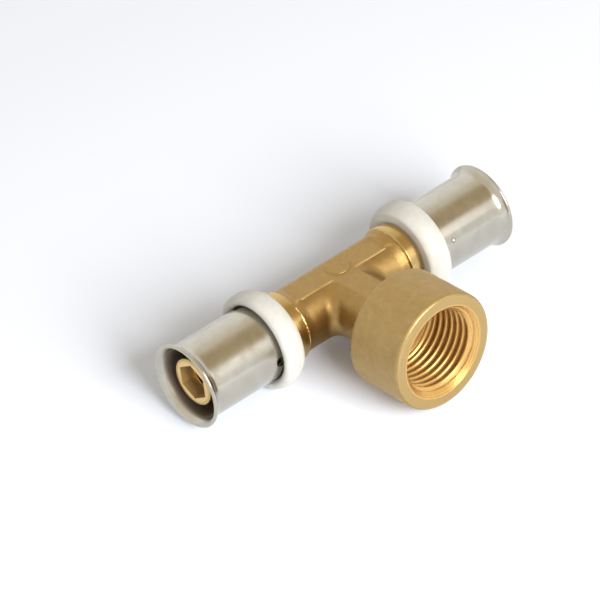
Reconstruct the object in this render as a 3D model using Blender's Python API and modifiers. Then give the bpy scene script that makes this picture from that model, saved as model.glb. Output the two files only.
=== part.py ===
"""Press tee for multilayer pipe, with a female threaded branch.

A brass tee body carries two crimp ends. Each end has an insert with two O-rings, a plastic
collar that turns on the body, and a steel press sleeve that turns in the collar. The run axis
lies along X, the branch points to -Y, and the origin is the centre of the bottom of the tee's
bounding box, so the lowest line of the branch boss is at z = 0.

Turned profiles are lists of (radius, distance) pairs, where distance is measured from the
centre of the tee along the run or along the branch.
"""

import math

import bmesh
import bpy
from mathutils import Matrix, Vector

MM = 0.001
GAP = 0.3 * MM
WELD_DISTANCE = 0.003 * MM

# Driving dimensions, for a 16 mm pipe and a G 1/2 thread
HALF_LENGTH = 45.5 * MM
BRANCH_REACH = 34.7 * MM
BODY_RADIUS = 7.65 * MM
PAD_HEIGHT = 7.0 * MM
BOSS_RADIUS = 14.0 * MM
SLEEVE_INNER_RADIUS = 8.2 * MM
SLEEVE_WALL = 0.85 * MM
COLLAR_RADIUS = 11.8 * MM
INSERT_RADIUS = 5.9 * MM
RUN_BORE_RADIUS = 3.7 * MM
THREAD_PITCH = 25.4 * MM / 14
THREAD_MAJOR_RADIUS = 20.955 * MM / 2
THREAD_MINOR_RADIUS = 18.631 * MM / 2
THREAD_HALF_ANGLE = math.radians(27.5)

# Tee body along the run
RING_START = 15.6 * MM
RING_END = 19.0 * MM
RING_RADIUS = 8.45 * MM
RING_GROOVE_WIDTH = 0.35 * MM
SEAT_RADIUS = 6.9 * MM
SEAT_GROOVE_RADIUS = SEAT_RADIUS - 2 * GAP
SEAT_GROOVE = (20.9 * MM, 22.3 * MM)
SEAT_END = 24.5 * MM
INSERT_END = 43.2 * MM
O_RING_CENTRES = (30.1 * MM, 36.6 * MM)
O_RING_GROOVE_WIDTH = 2.2 * MM
O_RING_GROOVE_RADIUS = 4.7 * MM
O_RING_TUBE_RADIUS = 0.65 * MM
O_RING_RADIUS = O_RING_GROOVE_RADIUS + 0.2 * MM + O_RING_TUBE_RADIUS
RIB_STARTS = (32.2 * MM, 33.6 * MM)
RIB_LENGTH = 1.2 * MM
RIB_DEPTH = 0.3 * MM
HEX_RADIUS = 4.5 * MM
HEX_DEPTH = 3.3 * MM

# Forged pads and crotch
PAD_HALF_LENGTH = 13.0 * MM
PAD_END_SLOPE = 1.3 * MM
CROTCH_RADIUS = 2.4 * MM
CROTCH_LEVELS = 14
CROTCH_ARC_STEPS = 6
MARK_RADIUS = 3.0 * MM
MARK_HEIGHT = 0.25 * MM
MARK_OFFSET = 0.8 * MM

# Branch
BOSS_START = 19.5 * MM
BOSS_BACK_CHAMFER = 0.8 * MM
BOSS_EDGE_RADIUS = 1.0 * MM
WATERWAY_RADIUS = 5.0 * MM
SOCKET_DEPTH = 15.0 * MM
SOCKET_FLOOR_DEPTH = 1.3 * MM
COUNTERSINK_RADIUS = THREAD_MAJOR_RADIUS + 0.55 * MM
COUNTERSINK_DEPTH = 2.0 * MM

# Press sleeve
SLEEVE_START = 20.9 * MM
SLEEVE_BEAD_HEIGHT = 0.4 * MM
SLEEVE_BEAD_LENGTH = 0.9 * MM
FLARE_RADIUS = 3.2 * MM
FLARE_ANGLE = math.radians(52)
HOLE_RADIUS = 1.2 * MM
HOLE_DISTANCE = 25.2 * MM
HOLES_PER_SLEEVE = 3
LEFT_SLEEVE_TURN = math.radians(-2.4)
RIGHT_SLEEVE_TURN = math.radians(-79)

# Collar
COLLAR_START = RING_END + GAP
COLLAR_END = 25.3 * MM
COLLAR_LIP = (SEAT_GROOVE[0] + GAP, SEAT_GROOVE[1] - GAP)
COLLAR_CORE_END = 23.6 * MM

# Facets round a full turn, in multiples of four so that the boxes are exact
RUN_STEPS = 36
BOSS_STEPS = 40
O_RING_STEPS = 24

RUN_AXIS = Vector((0, (BRANCH_REACH - COLLAR_RADIUS) / 2, BOSS_RADIUS))
TO_RUN_RIGHT = Matrix.Rotation(math.radians(90), 4, "Y")
TO_RUN_LEFT = Matrix.Rotation(math.radians(-90), 4, "Y")
TO_BRANCH = Matrix.Rotation(math.radians(90), 4, "X")


def clear_scene():
    for obj in list(bpy.data.objects):
        bpy.data.objects.remove(obj)


def make_collection(name):
    collection = bpy.data.collections.new(name)
    bpy.context.scene.collection.children.link(collection)
    return collection


def make_material(name, colour, roughness, metallic):
    material = bpy.data.materials.new(name)
    material.use_nodes = True
    shader = material.node_tree.nodes["Principled BSDF"]
    shader.inputs["Base Color"].default_value = (*colour, 1)
    shader.inputs["Roughness"].default_value = roughness
    shader.inputs["Metallic"].default_value = metallic
    return material


def link_object(name, mesh, collection, matrix):
    obj = bpy.data.objects.new(name, mesh)
    obj.matrix_world = matrix
    collection.objects.link(obj)
    return obj


def as_cutter(obj):
    obj.hide_render = True
    obj.display_type = "WIRE"
    return obj


def turned(name, profile, steps, collection, matrix):
    """A profile of (radius, distance) pairs turned about local Z.

    The profile runs down its outer side. It is closed unless it starts on the axis.
    """
    mesh = bpy.data.meshes.new(name)
    points = [(radius, 0, distance) for radius, distance in profile]
    edges = [(i, i + 1) for i in range(len(points) - 1)]
    if profile[0][0] > 0:
        edges.append((len(points) - 1, 0))
    mesh.from_pydata(points, edges, [])
    obj = link_object(name, mesh, collection, matrix)
    screw = obj.modifiers.new("turn", "SCREW")
    screw.axis = "Z"
    screw.steps = steps
    screw.render_steps = steps
    screw.use_merge_vertices = True
    screw.merge_threshold = 0.001 * MM
    return obj


def boolean(obj, other, operation):
    modifier = obj.modifiers.new(other.name, "BOOLEAN")
    modifier.operation = operation
    modifier.solver = "EXACT"
    modifier.object = other


def apply_modifiers(obj):
    """Bakes the modifiers, then welds the hair-thin edges that cutting leaves."""
    weld = obj.modifiers.new("weld", "WELD")
    weld.merge_threshold = WELD_DISTANCE
    bpy.context.view_layer.update()
    evaluated = obj.evaluated_get(bpy.context.evaluated_depsgraph_get())
    mesh = bpy.data.meshes.new_from_object(evaluated)
    obj.modifiers.clear()
    obj.data = mesh
    mesh.name = obj.name
    mesh.shade_smooth()
    mesh.set_sharp_from_angle(angle=math.radians(35))


def arc(centre, radius, start, end, steps):
    """Points on an arc in a plane such as (radius, distance), with angles from its first axis."""
    points = []
    for i in range(steps + 1):
        angle = start + (end - start) * i / steps
        points.append((centre[0] + radius * math.cos(angle), centre[1] + radius * math.sin(angle)))
    return points


def insert_profile():
    """Outer side of one half of the run, from the insert's nose down to the tee's centre."""
    nose = 0.4 * MM
    profile = [(INSERT_RADIUS - nose / 2, INSERT_END), (INSERT_RADIUS, INSERT_END - nose)]
    for centre in reversed(O_RING_CENTRES):
        top = centre + O_RING_GROOVE_WIDTH / 2
        bottom = centre - O_RING_GROOVE_WIDTH / 2
        profile += [(INSERT_RADIUS, top), (O_RING_GROOVE_RADIUS, top)]
        profile += [(O_RING_GROOVE_RADIUS, bottom), (INSERT_RADIUS, bottom)]
        if centre == O_RING_CENTRES[1]:
            for start in reversed(RIB_STARTS):
                profile += [(INSERT_RADIUS, start + RIB_LENGTH), (INSERT_RADIUS - RIB_DEPTH, start)]
    profile += [(INSERT_RADIUS, SEAT_END), (SEAT_RADIUS - GAP, SEAT_END), (SEAT_RADIUS, SEAT_END - GAP)]
    profile += [(SEAT_RADIUS, SEAT_GROOVE[1]), (SEAT_GROOVE_RADIUS, SEAT_GROOVE[1])]
    profile += [(SEAT_GROOVE_RADIUS, SEAT_GROOVE[0]), (SEAT_RADIUS, SEAT_GROOVE[0])]
    return profile


def ring_profile():
    """Machined ring next to the collar, its groove, and the forged flare that leads to it."""
    edge = 0.2 * MM
    groove_end = RING_START + RING_GROOVE_WIDTH
    flare_start = PAD_HALF_LENGTH + PAD_END_SLOPE / 2
    return [
        (SEAT_RADIUS, RING_END),
        (RING_RADIUS - edge, RING_END),
        (RING_RADIUS, RING_END - edge),
        (RING_RADIUS, groove_end),
        (RING_RADIUS - 2 * edge, groove_end - edge / 2),
        (RING_RADIUS - 2 * edge, RING_START + edge / 2),
        (RING_RADIUS - edge, RING_START),
        (BODY_RADIUS + edge, (RING_START + flare_start) / 2),
        (BODY_RADIUS, flare_start),
    ]


def make_run(collection, matrix):
    half = insert_profile() + ring_profile()
    mirrored = [(radius, -distance) for radius, distance in reversed(half)]
    profile = [(0, INSERT_END)] + half + mirrored + [(0, -INSERT_END)]
    return turned("tee_body", profile, RUN_STEPS, collection, matrix)


def make_branch(collection, matrix):
    chamfer = BOSS_BACK_CHAMFER
    fillet = arc((BODY_RADIUS + 2 * MM, BOSS_START - 3 * MM), 2 * MM, math.pi / 2, math.pi, 4)
    profile = [(0, BRANCH_REACH)]
    edge_centre = (BOSS_RADIUS - BOSS_EDGE_RADIUS, BRANCH_REACH - BOSS_EDGE_RADIUS)
    profile += arc(edge_centre, BOSS_EDGE_RADIUS, math.pi / 2, 0, 5)
    profile += [(BOSS_RADIUS, BOSS_START + chamfer), (BOSS_RADIUS - chamfer, BOSS_START)]
    profile += fillet
    profile += [(BODY_RADIUS, 0), (0, 0)]
    return turned("branch", profile, BOSS_STEPS, collection, matrix)


def make_branch_bore(collection, matrix):
    """Waterway, threaded bore and countersink as one cutter."""
    beyond = 1 * MM
    floor = BRANCH_REACH - SOCKET_DEPTH
    profile = [
        (0, BRANCH_REACH + beyond),
        (COUNTERSINK_RADIUS + beyond, BRANCH_REACH + beyond),
        (COUNTERSINK_RADIUS, BRANCH_REACH),
        (THREAD_MINOR_RADIUS, BRANCH_REACH - COUNTERSINK_DEPTH),
        (THREAD_MINOR_RADIUS, floor),
        (WATERWAY_RADIUS, floor - SOCKET_FLOOR_DEPTH),
        (WATERWAY_RADIUS, RUN_BORE_RADIUS / 2),
        (0, 0),
    ]
    return turned("branch_bore", profile, BOSS_STEPS, collection, matrix)


def make_thread_cutter(collection, matrix):
    """Helical groove of the internal thread: a 55 degree profile swept along a helix."""
    sunk = 0.1 * MM
    outer = THREAD_PITCH / 12
    inner = THREAD_PITCH / 2 - outer + sunk * math.tan(THREAD_HALF_ANGLE)
    inside = THREAD_MINOR_RADIUS - sunk
    half_section = [(THREAD_MAJOR_RADIUS, outer), (inside, inner)]
    section = [(radius, -distance) for radius, distance in reversed(half_section)] + half_section
    first = BRANCH_REACH - SOCKET_DEPTH + 1.5 * THREAD_PITCH
    turns = (BRANCH_REACH + THREAD_PITCH / 2 - first) / THREAD_PITCH
    count = round(turns * BOSS_STEPS)
    bm = bmesh.new()
    rings = []
    for i in range(count + 1):
        angle = 2 * math.pi * i / BOSS_STEPS
        rise = first + THREAD_PITCH * i / BOSS_STEPS
        ring = []
        for radius, distance in section:
            place = (radius * math.cos(angle), radius * math.sin(angle), rise + distance)
            ring.append(bm.verts.new(place))
        rings.append(ring)
    loft(bm, rings)
    return as_cutter(object_from(bm, "thread_groove", collection, matrix))


def loft(bm, rings):
    """Skins a list of closed rings with equal vertex counts, and caps both ends."""
    size = len(rings[0])
    for low, high in zip(rings, rings[1:]):
        for i in range(size):
            j = (i + 1) % size
            bm.faces.new((low[i], low[j], high[j], high[i]))
    bm.faces.new(list(reversed(rings[0])))
    bm.faces.new(rings[-1])
    bmesh.ops.recalc_face_normals(bm, faces=bm.faces)


def object_from(bm, name, collection, matrix):
    mesh = bpy.data.meshes.new(name)
    bm.to_mesh(mesh)
    bm.free()
    return link_object(name, mesh, collection, matrix)


def make_crotch(side, collection, matrix):
    """Fillet between the run and the neck on one side, lofted from the bottom pad to the top.

    At each height both forgings have the same half width, and the fillet joins them.
    """
    sunk = 0.6 * MM
    bm = bmesh.new()
    rings = []
    for level in range(CROTCH_LEVELS + 1):
        height = PAD_HEIGHT * (2 * level / CROTCH_LEVELS - 1) * 1.01
        half_width = math.sqrt(BODY_RADIUS**2 - height**2)
        centre = half_width + CROTCH_RADIUS
        buried = half_width - sunk
        outline = arc((centre, centre), CROTCH_RADIUS, -math.pi / 2, -math.pi, CROTCH_ARC_STEPS)
        outline += [(buried, centre), (buried, buried), (centre, buried)]
        rings.append([bm.verts.new((side * x, -y, height)) for x, y in outline])
    loft(bm, rings)
    return as_cutter(object_from(bm, "crotch_fillet", collection, matrix))


def make_pad_cutter(side, collection, matrix):
    """Trapezoid prism that takes the top or the bottom off the forging down to its flat pad."""
    height = BODY_RADIUS - PAD_HEIGHT + 1 * MM
    near = BODY_RADIUS + 2 * MM
    far = -(BOSS_START - 3 * MM)
    bm = bmesh.new()
    rings = []
    for y in (far, near):
        outline = [(PAD_HALF_LENGTH, PAD_HEIGHT), (PAD_HALF_LENGTH + PAD_END_SLOPE * 2, PAD_HEIGHT + height)]
        outline += [(-x, z) for x, z in reversed(outline)]
        rings.append([bm.verts.new((x, y, side * z)) for x, z in outline])
    loft(bm, rings)
    return as_cutter(object_from(bm, "pad_cutter", collection, matrix))


def make_prism(name, radius, start, end, sides, collection, matrix):
    """A cylinder or hexagonal prism along local Z, with a corner on local X."""
    bm = bmesh.new()
    middle = Matrix.Translation((0, 0, (start + end) / 2))
    turn = Matrix.Rotation(math.radians(90), 4, "Z")
    bmesh.ops.create_cone(
        bm,
        cap_ends=True,
        segments=sides,
        radius1=radius,
        radius2=radius,
        depth=end - start,
        matrix=middle @ turn,
    )
    return as_cutter(object_from(bm, name, collection, matrix))


def make_tee_body(parts, cutters, material):
    at_axis = Matrix.Translation(RUN_AXIS)
    half_step = Matrix.Rotation(math.pi / RUN_STEPS, 4, "Z")
    run = make_run(parts, at_axis @ TO_RUN_RIGHT @ half_step)
    boolean(run, as_cutter(make_branch(cutters, at_axis @ TO_BRANCH)), "UNION")
    for side in (-1, 1):
        boolean(run, make_crotch(side, cutters, at_axis), "UNION")
    for side in (-1, 1):
        boolean(run, make_pad_cutter(side, cutters, at_axis), "DIFFERENCE")
    mark_place = at_axis @ Matrix.Translation((MARK_OFFSET, 0, 0))
    mark_top = PAD_HEIGHT + MARK_HEIGHT
    mark = make_prism("mark", MARK_RADIUS, PAD_HEIGHT / 2, mark_top, RUN_STEPS // 2, cutters, mark_place)
    boolean(run, mark, "UNION")
    bore_end = INSERT_END + 1 * MM
    to_run = at_axis @ TO_RUN_RIGHT
    bore = make_prism("run_bore", RUN_BORE_RADIUS, -bore_end, bore_end, RUN_STEPS, cutters, to_run)
    boolean(run, bore, "DIFFERENCE")
    for turn in (TO_RUN_LEFT, TO_RUN_RIGHT):
        socket = make_prism("hex", HEX_RADIUS, INSERT_END - HEX_DEPTH, bore_end, 6, cutters, at_axis @ turn)
        boolean(run, socket, "DIFFERENCE")
    boolean(run, as_cutter(make_branch_bore(cutters, at_axis @ TO_BRANCH)), "DIFFERENCE")
    half_step = Matrix.Rotation(math.pi / BOSS_STEPS, 4, "Z")
    boolean(run, make_thread_cutter(cutters, at_axis @ TO_BRANCH @ half_step), "DIFFERENCE")
    apply_modifiers(run)
    run.data.materials.append(material)
    return run


def make_o_ring(name, centre, turn, parent, parts, material):
    """A torus in its groove on the insert."""
    profile = arc((O_RING_RADIUS, centre), O_RING_TUBE_RADIUS, math.pi, -math.pi * 3 / 4, 7)
    ring = turned(name, profile, O_RING_STEPS, parts, Matrix.Translation(RUN_AXIS) @ turn)
    apply_modifiers(ring)
    ring.data.materials.append(material)
    keep_place_under(ring, parent)
    return ring


def sleeve_profile():
    """Closed wall section: flared mouth, straight wall, and a bead held in the collar's slot."""
    half = SLEEVE_WALL / 2
    middle = SLEEVE_INNER_RADIUS + half
    outer_radius = SLEEVE_INNER_RADIUS + SLEEVE_WALL
    flare_start = HALF_LENGTH - half - FLARE_RADIUS * math.sin(FLARE_ANGLE)
    centre = (middle + FLARE_RADIUS, flare_start)
    rim_radius = middle + FLARE_RADIUS * (1 - math.cos(FLARE_ANGLE))
    rim_centre = (rim_radius, HALF_LENGTH - half)
    inside = arc(centre, FLARE_RADIUS + half, math.pi, math.pi - FLARE_ANGLE, 5)
    outside = arc(centre, FLARE_RADIUS - half, math.pi - FLARE_ANGLE, math.pi, 5)
    rim = arc(rim_centre, half, math.pi - FLARE_ANGLE, -FLARE_ANGLE, 4)
    bead = outer_radius + SLEEVE_BEAD_HEIGHT
    bead_end = SLEEVE_START + SLEEVE_BEAD_LENGTH
    foot = [
        (outer_radius, bead_end + SLEEVE_BEAD_HEIGHT),
        (bead, bead_end),
        (bead, SLEEVE_START),
        (SLEEVE_INNER_RADIUS, SLEEVE_START),
    ]
    return inside + rim[1:-1] + outside + foot


def make_sleeve(name, turn, roll, parent, parts, cutters, material):
    matrix = Matrix.Translation(RUN_AXIS) @ turn @ Matrix.Rotation(roll, 4, "Z")
    sleeve = turned(name, sleeve_profile(), RUN_STEPS, parts, matrix)
    reach = SLEEVE_INNER_RADIUS + 3 * SLEEVE_WALL
    for i in range(HOLES_PER_SLEEVE):
        around = Matrix.Rotation(2 * math.pi * i / HOLES_PER_SLEEVE, 4, "Z")
        out = Matrix.Translation((0, 0, HOLE_DISTANCE)) @ around @ Matrix.Rotation(math.pi / 2, 4, "X")
        start = SLEEVE_INNER_RADIUS - SLEEVE_WALL
        hole = make_prism("sight_hole", HOLE_RADIUS, start, reach, 16, cutters, matrix @ out)
        boolean(sleeve, hole, "DIFFERENCE")
    apply_modifiers(sleeve)
    sleeve.data.materials.append(material)
    keep_place_under(sleeve, parent)
    return sleeve


def collar_profile():
    """Closed section: barrel-shaped outside, slot for the sleeve, and a lip for the brass groove."""
    sleeve_outer = SLEEVE_INNER_RADIUS + SLEEVE_WALL
    bore = SEAT_RADIUS + GAP
    lip = SEAT_GROOVE_RADIUS + GAP
    slot_inner = SLEEVE_INNER_RADIUS - GAP
    slot_outer = sleeve_outer + GAP
    slot_bottom = SLEEVE_START - GAP
    undercut = slot_outer + SLEEVE_BEAD_HEIGHT
    undercut_end = SLEEVE_START + SLEEVE_BEAD_LENGTH + SLEEVE_BEAD_HEIGHT + GAP
    edge = 0.3 * MM
    barrel = [
        (slot_outer, COLLAR_END - 4 * edge),
        (COLLAR_RADIUS - 5 * edge, COLLAR_END),
        (COLLAR_RADIUS - 3 * edge, COLLAR_END - edge),
        (COLLAR_RADIUS - edge / 2, COLLAR_END - 4 * edge),
        (COLLAR_RADIUS, COLLAR_END - 7 * edge),
        (COLLAR_RADIUS - edge / 2, COLLAR_END - 11 * edge),
        (COLLAR_RADIUS - 2 * edge, COLLAR_START + 4 * edge),
        (COLLAR_RADIUS - 4 * edge, COLLAR_START + edge),
        (COLLAR_RADIUS - 5 * edge, COLLAR_START),
    ]
    inside = [
        (bore, COLLAR_START),
        (bore, COLLAR_LIP[0] - GAP),
        (lip, COLLAR_LIP[0]),
        (lip, COLLAR_LIP[1]),
        (bore, COLLAR_LIP[1]),
        (bore, COLLAR_CORE_END),
        (slot_inner, COLLAR_CORE_END),
    ]
    slot = [
        (slot_inner, slot_bottom),
        (undercut, slot_bottom),
        (undercut, undercut_end),
        (slot_outer, undercut_end + GAP),
    ]
    return barrel + inside + slot


def make_collar(name, turn, parent, parts, material):
    collar = turned(name, collar_profile(), RUN_STEPS, parts, Matrix.Translation(RUN_AXIS) @ turn)
    apply_modifiers(collar)
    collar.data.materials.append(material)
    keep_place_under(collar, parent)
    return collar


def keep_place_under(child, parent):
    bpy.context.view_layer.update()
    child.parent = parent
    child.matrix_parent_inverse = parent.matrix_world.inverted()


def build():
    clear_scene()
    parts = make_collection("press_tee")
    cutters = make_collection("cutters")
    brass = make_material("brass", (0.60, 0.40, 0.15), 0.35, 1.0)
    steel = make_material("stainless_steel", (0.62, 0.58, 0.52), 0.3, 1.0)
    plastic = make_material("white_plastic", (0.85, 0.84, 0.78), 0.45, 0.0)
    rubber = make_material("o_ring_rubber", (0.02, 0.02, 0.02), 0.6, 0.0)
    tee = make_tee_body(parts, cutters, brass)
    ends = {"left": (TO_RUN_LEFT, LEFT_SLEEVE_TURN), "right": (TO_RUN_RIGHT, RIGHT_SLEEVE_TURN)}
    for side, (turn, roll) in ends.items():
        for place, centre in zip(("inner", "outer"), O_RING_CENTRES):
            make_o_ring(f"o_ring_{side}_{place}", centre, turn, tee, parts, rubber)
        collar = make_collar(f"collar_{side}", turn, tee, parts, plastic)
        make_sleeve(f"sleeve_{side}", turn, roll, collar, parts, cutters, steel)


build()
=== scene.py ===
"""Looks for the press tee: finer meshes for every piece, procedural materials, floor, light and camera."""

import math

import bpy
import numpy as np
from mathutils import Matrix, Vector


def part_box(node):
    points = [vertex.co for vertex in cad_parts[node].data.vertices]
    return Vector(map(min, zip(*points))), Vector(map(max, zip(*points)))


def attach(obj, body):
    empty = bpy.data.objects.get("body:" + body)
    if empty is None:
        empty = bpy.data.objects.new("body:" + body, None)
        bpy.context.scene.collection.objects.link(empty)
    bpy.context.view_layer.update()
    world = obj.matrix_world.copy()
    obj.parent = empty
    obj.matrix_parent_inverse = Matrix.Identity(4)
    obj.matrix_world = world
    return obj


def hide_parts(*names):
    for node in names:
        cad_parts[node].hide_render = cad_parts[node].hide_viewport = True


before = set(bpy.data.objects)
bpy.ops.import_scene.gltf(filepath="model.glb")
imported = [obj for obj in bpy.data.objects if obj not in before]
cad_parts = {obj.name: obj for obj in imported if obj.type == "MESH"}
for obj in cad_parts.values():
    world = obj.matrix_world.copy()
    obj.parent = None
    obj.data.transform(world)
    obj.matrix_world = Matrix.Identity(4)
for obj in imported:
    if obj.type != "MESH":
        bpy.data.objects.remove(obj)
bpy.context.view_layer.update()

MM = 0.001

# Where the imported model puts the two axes, in millimetres
COLLAR_LOW, COLLAR_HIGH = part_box("collar_right")
TEE_LOW, TEE_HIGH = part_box("tee_body")
SLEEVE_LOW, SLEEVE_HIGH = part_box("sleeve_right")
AXIS_Y = (COLLAR_LOW.y + COLLAR_HIGH.y) / 2 / MM
AXIS_Z = (COLLAR_LOW.z + COLLAR_HIGH.z) / 2 / MM
BRANCH_REACH = AXIS_Y - TEE_LOW.y / MM
INSERT_END = TEE_HIGH.x / MM
HALF_LENGTH = SLEEVE_HIGH.x / MM
COLLAR_START = COLLAR_LOW.x / MM
COLLAR_END = COLLAR_HIGH.x / MM
COLLAR_RADIUS = (COLLAR_HIGH.z - COLLAR_LOW.z) / 2 / MM

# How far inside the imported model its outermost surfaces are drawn, in millimetres
INSET = 0.01

# Sizes of the tee in millimetres
BODY_RADIUS = 7.65
PAD_HEIGHT = 7.0
PAD_HALF_LENGTH = 12.9
PAD_END_SLOPE = 0.8
PAD_BLEND = 0.12
FLARE_POINTS = ((0.0, BODY_RADIUS), (13.4, BODY_RADIUS), (14.4, 7.8), (15.3, 8.15), (30.0, 8.15))
FORGING_HALF_LENGTH = 15.72
CROTCH_RADIUS = 2.4
MARK_RADIUS = 3.0
MARK_HEIGHT = 0.22
MARK_OFFSET = 0.8
MARK_BLEND = 0.35
BEAD_RADIUS = 0.28
BEAD_ENDS = (3.6, 12.6)
BEAD_SINK = 0.06
BOSS_RADIUS = AXIS_Z - 2 * INSET
BOSS_BACK = 17.9
BOSS_BACK_SLOPE = math.atan2(1.2, 5.65)
BOSS_BACK_BLEND = 1.0
BOSS_NECK_BLEND = 1.6
BOSS_EDGE_RADIUS = 1.0
RING_START = 15.5
RING_END = 19.0
RING_RADIUS = 8.45
RING_ROOT = 0.6
# Each point: drop from the ring's radius, distance past its start
RING_SHOULDER = ((0, 0.4), (0.42, 0.25), (0.5, -RING_ROOT))
SEAT_RADIUS = 6.9
SEAT_CHAMFER = 0.3
SEAT_GROOVE_RADIUS = 6.3
SEAT_GROOVE = (20.9, 22.3)
SEAT_END = 24.5
INSERT_RADIUS = 5.9
INSERT_CHAMFER = (0.25, 0.4)
O_RING_CENTRES = (30.1, 36.6)
O_RING_GROOVE_WIDTH = 2.2
O_RING_GROOVE_RADIUS = 4.7
O_RING_TUBE_RADIUS = 0.65
O_RING_GAP = 0.2
TURNED_EDGE = 0.16
RUN_BORE_RADIUS = 3.7
HEX_RADIUS = 4.5
HEX_DEPTH = 3.7
WATERWAY_RADIUS = 5.0
SOCKET_DEPTH = 15.0
SOCKET_FLOOR_DEPTH = 1.3
MOUTH_RADIUS = BOSS_RADIUS - 0.45
COUNTERSINK_RADIUS = 11.03
COUNTERSINK_DEPTH = 2.0
THREAD_PITCH = 25.4 / 14
THREAD_MINOR_RADIUS = 18.631 / 2
THREAD_MAJOR_RADIUS = 20.955 / 2
# Measured across half a pitch, from 0 at the middle of the root to 1 at the middle of the crest
THREAD_CREST_START = 0.76
THREAD_FLANK = 0.66
THREAD_ROUNDING = 0.22
SLEEVE_START = 20.9
SLEEVE_INNER_RADIUS = 8.2
SLEEVE_WALL = 0.85
SLEEVE_BEAD_HEIGHT = 0.4
SLEEVE_BEAD_LENGTH = 0.9
SLEEVE_BEAD_EDGE = 0.2
FLARE_RADIUS = 3.2
FLARE_ANGLE = math.radians(52)
FLARE_STEPS = 16
RIM_STEPS = 12
WALL_ROWS = 24
HOLE_RADIUS = 1.2
HOLE_DISTANCE = 25.2
DIMPLE_DISTANCE = 28.46
DIMPLE_TURN = math.radians(19.5)
DIMPLE_RADIUS = 0.9
DIMPLE_DEPTH = 0.28
COLLAR_GAP = 0.3
COLLAR_SLOT_FLOOR = 23.6
COLLAR_EDGE = 0.35
# Outside of the collar: (radius, drop from its end), then (drop from its radius, distance)
COLLAR_SHOULDER = ((9.9, 0.12), (10.6, INSET), (11.35, 0.45), (11.7, 1.2))
COLLAR_CROWN = ((INSET, 23.1), (0.05, 22.2), (0.22, 21.3), (0.5, 20.5), (0.95, 19.75))
LEFT_SLEEVE_TURN = math.radians(-2.4)
RIGHT_SLEEVE_TURN = math.radians(-79)

# Fineness of the meshes; lengths are in millimetres
TURN_STEPS = 192
FORGING_STEP = 0.3
RIDGE_STEP = 0.07
RIDGE_REACH = 5 * RIDGE_STEP
THREAD_STEP = 0.07
GRID_HALF_LENGTH = 16.5
GRID_BACK = 8.8
GRID_FRONT = BRANCH_REACH + 0.8
GRID_HALF_HEIGHT = 14.8
BORE_STEPS = 96
HOLE_STEPS = 40
BALL_STEPS = 32

# Camera, in degrees and millimetres from the crossing of the axes
CAMERA_AZIMUTH = -37.67
CAMERA_ELEVATION = 35.24
CAMERA_ROLL = 7.43
CAMERA_DISTANCE = 861.9
CAMERA_LENS = 229.9
FRAMING_RIGHT = -8.39
FRAMING_UP = -1.49

# The tee rests on the back edge of the boss and on both collars, so its floor is tilted
BOSS_CONTACT = BOSS_BACK + 2.0
REST_TILT = math.atan2(AXIS_Z, BOSS_CONTACT) - math.asin(COLLAR_RADIUS / math.hypot(AXIS_Z, BOSS_CONTACT))
FLOOR_SIZE = 0.6
FLOOR_GAP = 0.02

# Studio: directions from the crossing, distances and sizes in metres
SOFTBOX_DISTANCE = 0.8
SOFTBOX_SIZE = (0.42, 0.42)
FILL_AIM = (-0.12, -0.90, 0.41)
FILL_RADIANCE = 17.5
SHINE_AIM = (0.04, -0.88, 0.47)
SHINE_RADIANCE = 9.0
KEY_AIM = (0.499, -0.745, 0.443)
KEY_TARGET = (20, 0, 0)
KEY_DISTANCE = 0.2
KEY_SIZE = (0.042, 0.08)
KEY_RADIANCE = 0.85
WORLD_HORIZON = (1.15, 1.14, 1.12)
WORLD_OVERHEAD = (1.0, 0.90, 0.74)
WORLD_BROWN = (0.66, 0.53, 0.33)
WORLD_BROWN_AIM = (0.47, -0.33, 0.82)
WORLD_BROWN_SPREAD = (0.84, 0.98)
WORLD_BACK = (1.25, 1.25, 1.22)
WORLD_BACK_AIM = (0.50, 0.80, 0.30)
WORLD_BACK_SPREAD = (0.75, 0.97)
WORLD_SKY_SPREAD = (0.25, 0.95)
WORLD_DIFFUSE = 0.52

# Where one finish of the brass gives way to another, in millimetres from the axes
RING_FINISH = (15.42, 15.56)
MOUTH_FINISH = (BRANCH_REACH - 1.2, BRANCH_REACH - 1.1)
MOUTH_FINISH_BLUR = 0.08
SOCKET_FINISH = (15.0, 15.2)
SOCKET_FINISH_RADIUS = (11.2, 11.3)
BORE_FINISH_RADIUS = (5.0, 5.1)
BOSS_FINISH = (16.5, 19.5)

# Colours; a pair is the two ends of a ramp
RUN_SKIN = ((0.33, 0.21, 0.075), (0.40, 0.26, 0.097))
BOSS_SKIN = ((0.38, 0.265, 0.112), (0.46, 0.325, 0.145))
TURNED_BRASS = ((0.47, 0.32, 0.125), (0.57, 0.40, 0.165))
# Thread brass: its own colour, made more orange as painted warm light bouncing inside the socket
THREAD_BRASS_AND_BOUNCE = ((0.56, 0.34, 0.105), (0.66, 0.41, 0.14))
GRIME = (0.34, 0.21, 0.08)
# Lighter brass painted along the pad beads as a highlight line
BEAD_HIGHLIGHT_BRASS = (0.52, 0.36, 0.14)
# Bright gold painted on the hex walls as light inside the bore
PAINTED_HEX_LIGHT = (0.74, 0.52, 0.21)
STEEL_TONES = ((0.45, 0.425, 0.365), (0.49, 0.465, 0.405))
STEEL_SPECK = (0.36, 0.32, 0.26)
# Dark brown painted inside the sleeve as shade
STEEL_INSIDE_SHADE = (0.16, 0.12, 0.085)
PLASTIC_TONES = ((0.51, 0.50, 0.455), (0.59, 0.58, 0.54))
PLASTIC_SPECK = (0.55, 0.50, 0.40)
RUBBER_TONES = ((0.012, 0.012, 0.012), (0.03, 0.03, 0.028))
FLOOR_COLOUR = (0.86, 0.905, 1.0, 1)

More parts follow.
